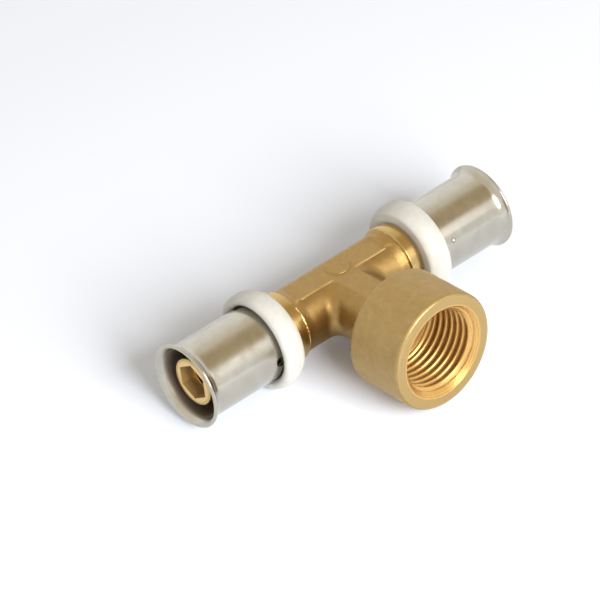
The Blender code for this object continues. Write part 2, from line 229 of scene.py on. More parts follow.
CROSSING = Matrix.Translation(Vector((0, AXIS_Y, AXIS_Z)) * MM)
MILLIMETRES = Matrix.Scale(MM, 4)
TO_RUN_RIGHT = Matrix.Rotation(math.radians(90), 4, "Y")
TO_RUN_LEFT = Matrix.Rotation(math.radians(-90), 4, "Y")
TO_BRANCH = Matrix.Rotation(math.radians(90), 4, "X")


# Meshes


def new_object(name, verts, faces, matrix=None):
    """Mesh object from millimetre coordinates about the crossing of the axes."""
    mesh = bpy.data.meshes.new(name)
    mesh.from_pydata([tuple(v) for v in verts], [], [tuple(f) for f in faces])
    mesh.transform(CROSSING @ MILLIMETRES @ (matrix or Matrix.Identity(4)))
    mesh.validate()
    obj = bpy.data.objects.new(name, mesh)
    bpy.context.scene.collection.objects.link(obj)
    return obj


def arc(centre, radius, start, end, steps):
    """Points (radius, distance) on an arc, with angles in degrees from the radial direction."""
    angles = [math.radians(start + (end - start) * i / steps) for i in range(steps + 1)]
    return [(centre[0] + radius * math.cos(a), centre[1] + radius * math.sin(a)) for a in angles]


def lathe(name, profile, matrix, steps=TURN_STEPS):
    """Turns a closed profile of (radius, distance) pairs about local Z.

    Points on the axis become one vertex.
    """
    verts = []
    rows = []
    for radius, distance in profile:
        if radius == 0:
            rows.append([len(verts)] * steps)
            verts.append((0, 0, distance))
            continue
        rows.append(list(range(len(verts), len(verts) + steps)))
        for i in range(steps):
            angle = 2 * math.pi * i / steps
            verts.append((radius * math.cos(angle), radius * math.sin(angle), distance))
    faces = []
    closed = profile[0][0] > 0
    pairs = list(zip(rows, rows[1:])) + ([(rows[-1], rows[0])] if closed else [])
    for upper, lower in pairs:
        for i in range(steps):
            j = (i + 1) % steps
            corners = [upper[i], lower[i], lower[j], upper[j]]
            faces.append(list(dict.fromkeys(corners)))
    return new_object(name, verts, faces, matrix)


def rounded(points, radius, steps=4):
    """A (radius, distance) outline with each corner between its ends replaced by a small curve."""
    share = 0.45
    result = [points[0]]
    for before, corner, after in zip(points, points[1:], points[2:]):
        a = Vector(before) - Vector(corner)
        b = Vector(after) - Vector(corner)
        reach = min(radius, a.length * share, b.length * share)
        start = Vector(corner) + a.normalized() * reach
        end = Vector(corner) + b.normalized() * reach
        for i in range(steps + 1):
            t = i / steps
            point = start * (1 - t) ** 2 + Vector(corner) * 2 * t * (1 - t) + end * t**2
            result.append(tuple(point))
    result.append(points[-1])
    return result


def boolean(obj, other, operation):
    """Adds or cuts another object, which is then deleted."""
    modifier = obj.modifiers.new(other.name, "BOOLEAN")
    modifier.operation = operation
    modifier.solver = "EXACT"
    modifier.object = other
    bpy.context.view_layer.update()
    evaluated = obj.evaluated_get(bpy.context.evaluated_depsgraph_get())
    mesh = bpy.data.meshes.new_from_object(evaluated)
    obj.modifiers.clear()
    obj.data = mesh
    bpy.data.objects.remove(other)


def smooth_shaded(obj, angle=32):
    obj.data.shade_smooth()
    obj.data.set_sharp_from_angle(angle=math.radians(angle))


def smooth_min(a, b, width):
    h = np.clip(0.5 + 0.5 * (b - a) / width, 0, 1)
    return b + (a - b) * h - width * h * (1 - h)


def smooth_max(a, b, width):
    return -smooth_min(-a, -b, width)


def round_max(a, b, radius):
    """Intersection of two solids with a round edge of that radius."""
    outside = np.hypot(np.maximum(a + radius, 0), np.maximum(b + radius, 0))
    return np.minimum(-radius, np.maximum(a, b)) + outside


def forging_field(points):
    """Rough signed distance to the forged body, negative inside. Columns are x, -y and z in millimetres."""
    x, d, z = points[..., 0], points[..., 1], points[..., 2]
    along = np.abs(x)
    flare = np.interp(along, *zip(*FLARE_POINTS))
    run = np.hypot(d, z) - flare
    neck = np.maximum(np.hypot(x, z) - BODY_RADIUS, -d)
    half_width = np.sqrt(np.maximum(BODY_RADIUS**2 - z**2, 0))
    centre = half_width + CROTCH_RADIUS
    web = np.maximum(along - centre, d - centre)
    web = np.maximum(web, half_width - 1 - np.minimum(along, d))
    web = np.maximum(web, CROTCH_RADIUS - np.hypot(along - centre, d - centre))
    web = np.maximum(web, np.abs(z) - BODY_RADIUS)
    body = np.minimum(np.minimum(run, neck), web)
    pad = np.abs(z) - PAD_HEIGHT - PAD_END_SLOPE * np.maximum(along - PAD_HALF_LENGTH, 0)
    body = smooth_max(body, pad, PAD_BLEND)
    mark = np.maximum(np.hypot(x - MARK_OFFSET, d) - MARK_RADIUS, z - PAD_HEIGHT - MARK_HEIGHT)
    body = smooth_min(body, np.maximum(mark, -z), MARK_BLEND)
    edge = math.sqrt(BODY_RADIUS**2 - PAD_HEIGHT**2)
    past = along - np.clip(along, *BEAD_ENDS)
    above = np.abs(z) - PAD_HEIGHT + BEAD_SINK
    bead = np.sqrt(past**2 + (d - edge) ** 2 + above**2) - BEAD_RADIUS
    body = smooth_min(body, bead, PAD_BLEND)
    around = np.hypot(x, z)
    back = (around - BODY_RADIUS) * math.sin(BOSS_BACK_SLOPE) - (d - BOSS_BACK) * math.cos(BOSS_BACK_SLOPE)
    boss = smooth_max(around - BOSS_RADIUS, back, BOSS_BACK_BLEND)
    body = smooth_min(body, boss, BOSS_NECK_BLEND)
    body = round_max(body, d - BRANCH_REACH + INSET, BOSS_EDGE_RADIUS)
    return np.maximum(body, along - FORGING_HALF_LENGTH)


def graded(low, high, ridges):
    """Grid lines from low to high, closer together near each ridge."""
    hair = 1e-6
    rows = [low]
    while rows[-1] < high:
        near = any(abs(rows[-1] - ridge) < RIDGE_REACH for ridge in ridges)
        rows.append(rows[-1] + (RIDGE_STEP if near else FORGING_STEP))
        for ridge in ridges:
            edge = ridge - RIDGE_REACH
            if rows[-2] < edge - hair and rows[-1] > edge:
                rows[-1] = edge + hair
    return np.array(rows)


def surface_net(field, axes):
    """Quads along the zero surface of a field sampled on a grid, one vertex for each crossed cell."""
    value = field(np.stack(np.meshgrid(*axes, indexing="ij"), -1))
    inside = value < 0
    cells = tuple(n - 1 for n in value.shape)
    total = np.zeros(cells + (3,))
    count = np.zeros(cells)
    corners = [(i, j, k) for i in (0, 1) for j in (0, 1) for k in (0, 1)]
    for a in corners:
        for b in corners:
            if sum(b) - sum(a) != 1 or any(q < p for p, q in zip(a, b)):
                continue
            va = value[tuple(slice(o, o + n) for o, n in zip(a, cells))]
            vb = value[tuple(slice(o, o + n) for o, n in zip(b, cells))]
            crossed = (va < 0) != (vb < 0)
            t = np.where(crossed, va / np.where(crossed, va - vb, 1), 0)
            for axis in range(3):
                total[..., axis] += crossed * (a[axis] + t * (b[axis] - a[axis]))
            count += crossed
    active = np.argwhere(count > 0)
    index = np.full(cells, -1)
    index[tuple(active.T)] = np.arange(len(active))
    verts = active + total[tuple(active.T)] / count[tuple(active.T)][:, None]
    verts = np.stack([np.interp(v, np.arange(len(rows)), rows) for v, rows in zip(verts.T, axes)], 1)
    faces = []
    for axis in range(3):
        u, v = (axis + 1) % 3, (axis + 2) % 3
        first = [slice(1, n - 1) for n in value.shape]
        first[axis] = slice(0, value.shape[axis] - 1)
        second = list(first)
        second[axis] = slice(1, value.shape[axis])
        a, b = inside[tuple(first)], inside[tuple(second)]
        nodes = np.argwhere(a != b)
        flip = a[tuple(nodes.T)]
        nodes += np.array([s.start for s in first])
        ring = []
        for du, dv in ((0, 0), (1, 0), (1, 1), (0, 1)):
            cell = nodes.copy()
            cell[:, u] -= du
            cell[:, v] -= dv
            ring.append(index[tuple(cell.T)])
        quads = np.stack(ring, 1)
        faces.append(np.where(flip[:, None], quads[:, ::-1], quads)[:, ::-1])
    return settle(field, verts), np.concatenate(faces)


def settle(field, verts, rounds=3):
    """Moves vertices onto the zero surface by Newton steps."""
    probe = 0.02
    farthest = 0.2
    for _ in range(rounds):
        slope = np.stack(
            [(field(verts + probe * e) - field(verts - probe * e)) / (2 * probe) for e in np.eye(3)], 1
        )
        size = np.maximum((slope**2).sum(1), 0.25)
        shift = (field(verts) / size)[:, None] * slope
        verts = verts - np.clip(shift, -farthest, farthest)
    return verts


def make_forging():
    ridge = math.sqrt(BODY_RADIUS**2 - PAD_HEIGHT**2)
    axes = [
        graded(-GRID_HALF_LENGTH, GRID_HALF_LENGTH, (-PAD_HALF_LENGTH, -ridge, ridge, PAD_HALF_LENGTH)),
        graded(-GRID_BACK, GRID_FRONT, (-ridge, ridge)),
        graded(-GRID_HALF_HEIGHT, GRID_HALF_HEIGHT, (-PAD_HEIGHT, PAD_HEIGHT)),
    ]
    verts, faces = surface_net(forging_field, axes)
    verts = verts * np.array([1, -1, 1])
    return new_object("tee_body_fine", verts, faces[:, ::-1])


def end_profile():
    """The machined end of the body: ring, collar seat, insert with its grooves and nose."""
    outline = [(0, INSERT_END), (INSERT_RADIUS - INSERT_CHAMFER[0], INSERT_END)]
    outline += [(INSERT_RADIUS, INSERT_END - INSERT_CHAMFER[1])]
    for centre in reversed(O_RING_CENTRES):
        top = centre + O_RING_GROOVE_WIDTH / 2
        bottom = centre - O_RING_GROOVE_WIDTH / 2
        outline += [(INSERT_RADIUS, top), (O_RING_GROOVE_RADIUS, top)]
        outline += [(O_RING_GROOVE_RADIUS, bottom), (INSERT_RADIUS, bottom)]
    outline += [(INSERT_RADIUS, SEAT_END), (SEAT_RADIUS - SEAT_CHAMFER, SEAT_END)]
    outline += [(SEAT_RADIUS, SEAT_END - SEAT_CHAMFER)]
    outline += [(SEAT_RADIUS, SEAT_GROOVE[1]), (SEAT_GROOVE_RADIUS, SEAT_GROOVE[1])]
    outline += [(SEAT_GROOVE_RADIUS, SEAT_GROOVE[0]), (SEAT_RADIUS, SEAT_GROOVE[0])]
    outline += [(SEAT_RADIUS, RING_END), (RING_RADIUS, RING_END)]
    outline += [(RING_RADIUS - drop, RING_START + rise) for drop, rise in RING_SHOULDER]
    outline += [(0, RING_START - RING_ROOT)]
    return rounded(outline, TURNED_EDGE)


def thread_depth(phase):
    """Depth of the thread groove, from 0 on the crest to 1 in the root, at that fraction of a pitch."""
    away = np.abs(phase - 0.5) * 2
    slope = (THREAD_CREST_START - away) / THREAD_FLANK
    below = smooth_min(slope, np.ones_like(slope), THREAD_ROUNDING)
    return smooth_max(np.zeros_like(slope), below, THREAD_ROUNDING)


def make_branch_bore():
    """Countersink, threaded bore and waterway as one grid, used as a cutter."""
    floor = BRANCH_REACH - SOCKET_DEPTH
    rows = np.concatenate([
        [RUN_BORE_RADIUS / 2, floor - SOCKET_FLOOR_DEPTH],
        np.arange(floor - SOCKET_FLOOR_DEPTH + THREAD_STEP, BRANCH_REACH + 1.0, THREAD_STEP),
    ])
    angle = np.arange(TURN_STEPS) * 2 * math.pi / TURN_STEPS
    distance, turn = np.meshgrid(rows, angle, indexing="ij")
    groove = thread_depth((distance / THREAD_PITCH - turn / (2 * math.pi)) % 1)
    runout = np.clip((distance - floor) / THREAD_PITCH, 0, 1)
    radius = THREAD_MINOR_RADIUS + (THREAD_MAJOR_RADIUS - THREAD_MINOR_RADIUS) * groove * runout
    cone = (COUNTERSINK_RADIUS - THREAD_MINOR_RADIUS) / COUNTERSINK_DEPTH
    radius = np.maximum(radius, COUNTERSINK_RADIUS + (distance - BRANCH_REACH) * cone)
    cone = (THREAD_MINOR_RADIUS - WATERWAY_RADIUS) / SOCKET_FLOOR_DEPTH
    drill = WATERWAY_RADIUS + np.maximum(distance - floor + SOCKET_FLOOR_DEPTH, 0) * cone
    radius = np.minimum(radius, drill)
    verts = np.stack([radius * np.cos(turn), radius * np.sin(turn), distance], -1).reshape(-1, 3)
    faces = []
    for row in range(len(rows) - 1):
        for i in range(TURN_STEPS):
            j = (i + 1) % TURN_STEPS
            low, high = row * TURN_STEPS, (row + 1) * TURN_STEPS
            faces.append((low + i, low + j, high + j, high + i))
    faces.append(tuple(reversed(range(TURN_STEPS))))
    faces.append(tuple(range((len(rows) - 1) * TURN_STEPS, len(rows) * TURN_STEPS)))
    return new_object("branch_bore", verts, faces, TO_BRANCH)


def make_prism(name, radius, start, end, sides, matrix):
    """A cutter: a regular prism along local Z."""
    angles = [2 * math.pi * i / sides for i in range(sides)]
    bottom = [(radius * math.cos(a), radius * math.sin(a)) for a in angles]
    verts = [(x, y, start) for x, y in bottom] + [(x, y, end) for x, y in bottom]
    faces = [(i, (i + 1) % sides, sides + (i + 1) % sides, sides + i) for i in range(sides)]
    faces += [tuple(reversed(range(sides))), tuple(range(sides, 2 * sides))]
    return new_object(name, verts, faces, matrix)


def make_body():
    """The tee body: forging, turned ends, and every bore cut out of it."""
    body = make_forging()
    for turn in (TO_RUN_LEFT, TO_RUN_RIGHT):
        end = lathe("end", end_profile(), turn)
        boolean(body, end, "UNION")
    bores = make_branch_bore()
    reach = INSERT_END + 1
    run_bore = make_prism("run_bore", RUN_BORE_RADIUS, -reach, reach, BORE_STEPS, TO_RUN_RIGHT)
    boolean(bores, run_bore, "UNION")
    for turn in (TO_RUN_LEFT, TO_RUN_RIGHT):
        mouth = INSERT_END - HEX_DEPTH
        boolean(bores, make_prism("hex", HEX_RADIUS, mouth, reach, 6, turn), "UNION")
    boolean(body, bores, "DIFFERENCE")
    smooth_shaded(body)
    return body


def sleeve_profile():
    """Wall of the sleeve: flare at the mouth, straight tube, and the bead that the collar holds."""
    half = SLEEVE_WALL / 2
    middle = SLEEVE_INNER_RADIUS + half
    outer = SLEEVE_INNER_RADIUS + SLEEVE_WALL
    sweep = math.degrees(FLARE_ANGLE)
    start = HALF_LENGTH - half - FLARE_RADIUS * math.sin(FLARE_ANGLE)
    centre = (middle + FLARE_RADIUS, start)
    rim = (middle + FLARE_RADIUS * (1 - math.cos(FLARE_ANGLE)), HALF_LENGTH - half)
    outline = arc(centre, FLARE_RADIUS + half, 180, 180 - sweep, FLARE_STEPS)
    outline += arc(rim, half, 180 - sweep, -sweep, RIM_STEPS)[1:-1]
    outline += arc(centre, FLARE_RADIUS - half, 180 - sweep, 180, FLARE_STEPS)
    bead_end = SLEEVE_START + SLEEVE_BEAD_LENGTH
    bead_top = outer + SLEEVE_BEAD_HEIGHT
    rows = np.linspace(start - 1, bead_end + 1.4, WALL_ROWS)
    outline += [(outer, row) for row in rows]
    bead = [(outer, bead_end + 0.8), (bead_top, bead_end), (bead_top, SLEEVE_START)]
    bead += [(SLEEVE_INNER_RADIUS, SLEEVE_START), (SLEEVE_INNER_RADIUS, bead_end)]
    return outline + rounded(bead, SLEEVE_BEAD_EDGE)


def make_sleeve(name, turn, roll):
    """Sleeve with three sight holes, rolled about its axis."""
    matrix = turn @ Matrix.Rotation(roll, 4, "Z")
    sleeve = lathe(name, sleeve_profile(), matrix)
    for i in range(3):
        out = Matrix.Translation((0, 0, HOLE_DISTANCE)) @ Matrix.Rotation(math.radians(120 * i), 4, "Z")
        out = out @ Matrix.Rotation(math.pi / 2, 4, "X")
        inner, outer = SLEEVE_INNER_RADIUS - 1, SLEEVE_INNER_RADIUS + 2
        hole = make_prism("hole", HOLE_RADIUS, inner, outer, HOLE_STEPS, matrix @ out)
        boolean(sleeve, hole, "DIFFERENCE")
    smooth_shaded(sleeve)
    return sleeve


def punch_dimple(sleeve):
    """Small round punch mark on the outside of the right sleeve."""
    height = SLEEVE_INNER_RADIUS + SLEEVE_WALL + DIMPLE_RADIUS - DIMPLE_DEPTH
    place = (DIMPLE_DISTANCE, -height * math.cos(DIMPLE_TURN), height * math.sin(DIMPLE_TURN))
    outline = [(0, DIMPLE_RADIUS)] + arc((0, 0), DIMPLE_RADIUS, 80, -80, 16) + [(0, -DIMPLE_RADIUS)]
    ball = lathe("ball", outline, Matrix.Translation(place), BALL_STEPS)
    boolean(sleeve, ball, "DIFFERENCE")
    smooth_shaded(sleeve)


def collar_profile():
    """Section of the collar: rounded outside, lip in the body's groove, and slot that holds the sleeve."""
    outer = SLEEVE_INNER_RADIUS + SLEEVE_WALL
    bore = SEAT_RADIUS + COLLAR_GAP
    slot_outer = outer + COLLAR_GAP
    slot_inner = SLEEVE_INNER_RADIUS - COLLAR_GAP
    bottom = SLEEVE_START - COLLAR_GAP
    undercut = slot_outer + SLEEVE_BEAD_HEIGHT
    undercut_end = SLEEVE_START + SLEEVE_BEAD_LENGTH + SLEEVE_BEAD_HEIGHT + COLLAR_GAP
    lip = SEAT_GROOVE_RADIUS + COLLAR_GAP
    lip_end = SEAT_GROOVE[1] - COLLAR_GAP
    back = COLLAR_START + INSET
    outside = [(slot_outer, COLLAR_END - 0.75)]
    outside += [(radius, COLLAR_END - drop) for radius, drop in COLLAR_SHOULDER]
    outside += [(COLLAR_RADIUS - drop, distance) for drop, distance in COLLAR_CROWN]
    outside += [(COLLAR_RADIUS - 1.5, back)]
    inside = [(bore, back), (bore, SEAT_GROOVE[0]), (lip, SEAT_GROOVE[0] + COLLAR_GAP)]
    inside += [(lip, lip_end), (bore, lip_end + 0.1), (bore, COLLAR_SLOT_FLOOR)]
    inside += [(slot_inner, COLLAR_SLOT_FLOOR), (slot_inner, bottom)]
    slot = [(undercut, bottom), (undercut, undercut_end), (slot_outer, undercut_end + COLLAR_GAP)]
    return rounded(outside + inside + slot, COLLAR_EDGE, 5)


def make_collar(name, turn):
    collar = lathe(name, collar_profile(), turn)
    smooth_shaded(collar, 40)
    return collar


def make_o_ring(name, centre, turn):
    radius = O_RING_GROOVE_RADIUS + O_RING_GAP + O_RING_TUBE_RADIUS
    profile = arc((radius, centre), O_RING_TUBE_RADIUS - INSET, 180, -165, 23)
    ring = lathe(name, profile, turn)
    smooth_shaded(ring)
    return ring


# Materials


class Shader:
    """A Principled material and short calls for the nodes that feed it."""

    def __init__(self, name, **values):
        self.material = bpy.data.materials.new(name)
        self.material.use_nodes = True
        self.tree = self.material.node_tree
        self.shader = self.tree.nodes["Principled BSDF"]
        for socket, value in values.items():
            self.shader.inputs[socket.replace("_", " ")].default_value = value

    def node(self, kind, **settings):
        made = self.tree.nodes.new(kind)
        for key, value in settings.items():
            setattr(made, key, value)
        return made

    def link(self, value, socket):
        if isinstance(value, (int, float)):
            socket.default_value = value
        else:
            self.tree.links.new(value, socket)

    def math(self, operation, a, b=0.0):
        made = self.node("ShaderNodeMath", operation=operation)
        self.link(a, made.inputs[0])
        self.link(b, made.inputs[1])
        return made.outputs[0]

    def hypot(self, a, b):
        squares = self.math("ADD", self.math("MULTIPLY", a, a), self.math("MULTIPLY", b, b))
        return self.math("SQRT", squares)

    def both(self, a, b):
        """The product of two masks."""
        return self.math("MULTIPLY", a, b)

    def position(self):
        """Object position in millimetres from the crossing of the axes, as three outputs."""
        place = self.node("ShaderNodeTexCoord").outputs["Object"]
        shift = self.node("ShaderNodeVectorMath", operation="SUBTRACT")
        self.link(place, shift.inputs[0])
        shift.inputs[1].default_value = (0, AXIS_Y * MM, AXIS_Z * MM)
        scale = self.node("ShaderNodeVectorMath", operation="SCALE")
        self.link(shift.outputs[0], scale.inputs[0])
        scale.inputs["Scale"].default_value = 1 / MM
        split = self.node("ShaderNodeSeparateXYZ")
        self.link(scale.outputs[0], split.inputs[0])
        return scale.outputs[0], split.outputs

    def vector(self, x, y, z):
        made = self.node("ShaderNodeCombineXYZ")
        for value, socket in zip((x, y, z), made.inputs):
            self.link(value, socket)
        return made.outputs[0]

    def noise(self, vector, scale, detail=4.0, roughness=0.6):
        made = self.node("ShaderNodeTexNoise")
        self.link(vector, made.inputs["Vector"])
        made.inputs["Scale"].default_value = scale
        made.inputs["Detail"].default_value = detail
        made.inputs["Roughness"].default_value = roughness
        return made.outputs["Fac"]

    def ramp(self, value, colours, low=0.3):
        """Colour ramp from the first colour at low to the second at 1 - low."""
        made = self.node("ShaderNodeValToRGB")
        self.link(value, made.inputs[0])
        for element, place, colour in zip(made.color_ramp.elements, (low, 1 - low), colours):
            element.position = place
            element.color = (*colour, 1)
        return made.outputs[0]

    def remap(self, value, low, high, out_low, out_high):
        made = self.node("ShaderNodeMapRange")
        self.link(value, made.inputs["Value"])
        made.inputs["From Min"].default_value = low
        made.inputs["From Max"].default_value = high
        made.inputs["To Min"].default_value = out_low
        made.inputs["To Max"].default_value = out_high
        return made.outputs[0]

    def mix(self, factor, a, b):
        """Colour a where factor is 0 and b where it is 1."""
        made = self.node("ShaderNodeMix", data_type="RGBA")
        self.link(factor, made.inputs[0])
        for value, socket in ((a, made.inputs[6]), (b, made.inputs[7])):
            if isinstance(value, tuple):
                socket.default_value = (*value, 1)
            else:
                self.tree.links.new(value, socket)
        return made.outputs[2]

    def blend(self, factor, a, b):
        """Number a where factor is 0 and b where it is 1."""
        made = self.node("ShaderNodeMix", data_type="FLOAT")
        self.link(factor, made.inputs[0])
        self.link(a, made.inputs[2])
        self.link(b, made.inputs[3])
        return made.outputs[0]

    def bump(self, height, distance):
        made = self.node("ShaderNodeBump")
        self.link(height, made.inputs["Height"])
        made.inputs["Distance"].default_value = distance * MM
        made.inputs["Strength"].default_value = 1.0
        return made.outputs[0]

    def out(self, socket, value):
        self.link(value, self.shader.inputs[socket])


def bead_mask(s, along, away, around_run, z):
    """1 on the beads along the front edges of the pads, where a lighter brass is painted on as a highlight
    line.
    """
    off_pad = s.math("ABSOLUTE", s.math("SUBTRACT", s.math("ABSOLUTE", z), PAD_HEIGHT + 0.08))
    off_round = s.math("ABSOLUTE", s.math("SUBTRACT", around_run, BODY_RADIUS + 0.1))
    on_bead = s.remap(s.math("ADD", off_pad, off_round), 0.1, 0.32, 1, 0)
    on_bead = s.both(on_bead, s.remap(along, BEAD_ENDS[0] - 0.4, BEAD_ENDS[0], 0, 1))
    return s.both(on_bead, s.remap(away, 0.0, 0.1, 0, 1))


def brass_masks(s, place, x, y, z):
    """Masks by name, each 1 on one part of the tee: which metal is turned, and which is bare forging."""
    along = s.math("ABSOLUTE", x)
    away = s.math("MULTIPLY", y, -1.0)
    around_branch = s.hypot(x, z)
    around_run = s.hypot(y, z)
    wander = s.math("MULTIPLY", s.math("SUBTRACT", s.noise(place, 0.6, 2), 0.5), 0.25)
    edge_radius = s.math("ADD", around_branch, s.math("MULTIPLY", wander, 0.4))
    front = s.remap(away, *MOUTH_FINISH, 0, 1)
    deep = s.remap(away, *SOCKET_FINISH, 0, 1)
    masks = {
        "ends": s.remap(s.math("ADD", along, wander), *RING_FINISH, 0, 1),
        "mouth": s.both(front, s.remap(edge_radius, MOUTH_RADIUS, MOUTH_RADIUS + MOUTH_FINISH_BLUR, 1, 0)),
        "socket": s.both(deep, s.remap(around_branch, *SOCKET_FINISH_RADIUS, 1, 0)),
        "inside": s.remap(around_run, *BORE_FINISH_RADIUS, 1, 0),
        "boss_side": s.remap(away, *BOSS_FINISH, 0, 1),
        "bead": bead_mask(s, along, away, around_run, z),
    }
    hex_start = INSERT_END - HEX_DEPTH
    masks["hex_walls"] = s.both(masks["inside"], s.remap(along, hex_start - 0.1, hex_start, 0, 1))
    on_ends = s.math("MAXIMUM", masks["ends"], masks["mouth"])
    masks["bored"] = s.math("MAXIMUM", masks["socket"], masks["inside"])
    masks["turned"] = s.math("MAXIMUM", on_ends, masks["bored"])
    return masks


def turning_rings(s, masks, x, y, z):
    """Fine tool marks: round the run on the ends, round the branch on the mouth and in the socket."""
    lines = 9.0
    away = s.math("MULTIPLY", y, -1.0)
    run = s.vector(s.math("MULTIPLY", x, lines), s.math("MULTIPLY", s.hypot(y, z), lines), 0.0)
    branch = s.vector(s.math("MULTIPLY", s.hypot(x, z), lines), s.math("MULTIPLY", away, lines), 0.0)
    return s.blend(masks["ends"], s.noise(branch, 1.0, 3), s.noise(run, 1.0, 3))


def brass_material():
    """Blasted forging skin, and bright turned metal on the ring, insert, mouth and thread; the pad beads,
    hex walls and socket carry painted light.
    """
    s = Shader("brass")
    place, (x, y, z) = s.position()
    masks = brass_masks(s, place, x, y, z)
    rings = turning_rings(s, masks, x, y, z)

    blotch = s.noise(place, 0.5, 6, 0.7)
    grime = s.noise(place, 2.2, 6, 0.75)
    skin = s.mix(masks["boss_side"], s.ramp(blotch, RUN_SKIN), s.ramp(blotch, BOSS_SKIN))
    skin = s.mix(s.remap(grime, 0.30, 0.42, 0.4, 0.0), skin, GRIME)
    # Painted highlight: lighter brass along the pad beads draws the bright line that catches the light
    # there
    skin = s.mix(masks["bead"], skin, BEAD_HIGHLIGHT_BRASS)
    # The socket's brass is partly painted bounce light: more orange than the turned ends
    bright = s.mix(masks["bored"], s.ramp(rings, TURNED_BRASS), s.ramp(rings, THREAD_BRASS_AND_BOUNCE))
    # Painted light: the hex walls get a bright gold that stands in for light reaching into the bore
    bright = s.mix(masks["hex_walls"], bright, PAINTED_HEX_LIGHT)
    s.out("Base Color", s.mix(masks["turned"], skin, bright))
    # Lower metallic on the hex walls and in the socket lets their painted light colours show as diffuse
    # brightness
    s.out("Metallic", s.blend(masks["socket"], s.blend(masks["hex_walls"], 1.0, 0.5), 0.72))

    run_rough = s.remap(grime, 0.3, 0.7, 0.5, 0.34)
    boss_rough = s.remap(grime, 0.3, 0.7, 0.62, 0.5)
    skin_rough = s.blend(masks["boss_side"], run_rough, boss_rough)
    skin_rough = s.blend(masks["bead"], skin_rough, 0.38)
    thread_rough = s.math("MULTIPLY", masks["socket"], 0.06)
    turned_rough = s.math("ADD", s.remap(rings, 0.3, 0.7, 0.16, 0.28), thread_rough)
    s.out("Roughness", s.blend(masks["turned"], skin_rough, turned_rough))

    pits = s.math("MULTIPLY", s.noise(place, 6.0, 4, 0.65), 0.5)
    waves = s.math("MULTIPLY", s.noise(place, 1.4, 3), 0.8)
    tool_marks = s.math("MULTIPLY", rings, s.blend(masks["mouth"], 0.12, 0.4))
    s.out("Normal", s.bump(s.blend(masks["turned"], s.math("ADD", pits, waves), tool_marks), 0.06))
    return s.material


def steel_material():
    """Drawn stainless tube: satin, with faint lines along it, small scuffs and a dull inside with painted
    dark shade.
    """
    s = Shader("stainless")
    place, (x, y, z) = s.position()
    angle = s.math("ARCTAN2", z, y)
    stretched = s.vector(s.math("MULTIPLY", x, 0.1), s.math("MULTIPLY", angle, 40.0), 0.0)
    drawn = s.noise(stretched, 1.0, 5, 0.7)
    cloud = s.noise(place, 0.3, 3)
    scuff = s.noise(place, 9.0, 4, 0.6)
    speck = s.noise(place, 3.0, 5, 0.7)
    tone = s.ramp(cloud, STEEL_TONES, low=0.35)
    tone = s.mix(s.remap(speck, 0.30, 0.42, 0.15, 0.0), tone, STEEL_SPECK)
    # Painted shade: the inside of the tube is coloured dark brown
    inside = s.remap(s.hypot(y, z), SLEEVE_INNER_RADIUS + 0.05, SLEEVE_INNER_RADIUS + 0.5, 1, 0)
    s.out("Base Color", s.mix(inside, tone, STEEL_INSIDE_SHADE))
    s.out("Metallic", s.blend(inside, 1.0, 0.4))
    rough = s.math("ADD", s.remap(cloud, 0.3, 0.7, 0.15, 0.21), s.remap(drawn, 0.3, 0.7, 0.0, 0.05))
    s.out("Roughness", s.blend(inside, rough, 0.55))
    height = s.math("ADD", s.math("MULTIPLY", drawn, 0.5), s.math("MULTIPLY", scuff, 0.3))
    s.out("Normal", s.bump(height, 0.006))
    return s.material


def plastic_material():
    """White moulded polyamide that lets a little light in."""
    s = Shader("white_plastic", Metallic=0.0, Subsurface_Weight=0.35, Subsurface_Scale=0.0015, IOR=1.5)
    s.shader.inputs["Subsurface Radius"].default_value = (1.0, 0.8, 0.55)
    place, _ = s.position()
    cloud = s.noise(place, 0.35, 4)
    fine = s.noise(place, 7.0, 4)
    speck = s.noise(place, 2.2, 2, 0.4)
    tone = s.ramp(cloud, PLASTIC_TONES)
    s.out("Base Color", s.mix(s.remap(speck, 0.24, 0.28, 0.5, 0.0), tone, PLASTIC_SPECK))
    s.out("Roughness", s.remap(cloud, 0.3, 0.7, 0.36, 0.5))
    s.out("Normal", s.bump(s.math("ADD", fine, s.math("MULTIPLY", cloud, 2.0)), 0.02))
    return s.material


def rubber_material():
    """Black moulded rubber with a slightly uneven sheen."""
    s = Shader("o_ring_rubber", Metallic=0.0)
    place, _ = s.position()
    cloud = s.noise(place, 1.2, 4)
    s.out("Base Color", s.ramp(cloud, RUBBER_TONES))
    s.out("Roughness", s.remap(cloud, 0.3, 0.7, 0.45, 0.65))
    s.out("Normal", s.bump(s.noise(place, 8.0, 4), 0.02))
    return s.material


def floor_material():
    s = Shader("floor", Metallic=0.0, Roughness=0.7)
    s.shader.inputs["Base Color"].default_value = FLOOR_COLOUR
    return s.material


# Scene


def place_piece(obj, material, body, slot, *nodes):
    obj.data.materials.clear()
    obj.data.materials.append(material)
    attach(obj, body)
    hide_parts(*nodes)


def make_pieces():
    brass, steel = brass_material(), steel_material()
    plastic, rubber = plastic_material(), rubber_material()
    place_piece(make_body(), brass, "tee", "brass", "tee_body")
    sides = {"left": (TO_RUN_LEFT, LEFT_SLEEVE_TURN), "right": (TO_RUN_RIGHT, RIGHT_SLEEVE_TURN)}
    for side, (turn, roll) in sides.items():
        sleeve = make_sleeve(f"sleeve_{side}_fine", turn, roll)
        if side == "right":
            punch_dimple(sleeve)
        place_piece(sleeve, steel, f"sleeve_{side}", "stainless", f"sleeve_{side}")
        collar = make_collar(f"collar_{side}_fine", turn)
        place_piece(collar, plastic, f"collar_{side}", "white_plastic", f"collar_{side}")
        for spot, centre in zip(("inner", "outer"), O_RING_CENTRES):
            ring = make_o_ring(f"o_ring_{side}_{spot}_fine", centre, turn)
            place_piece(ring, rubber, "tee", "rubber", f"o_ring_{side}_{spot}")


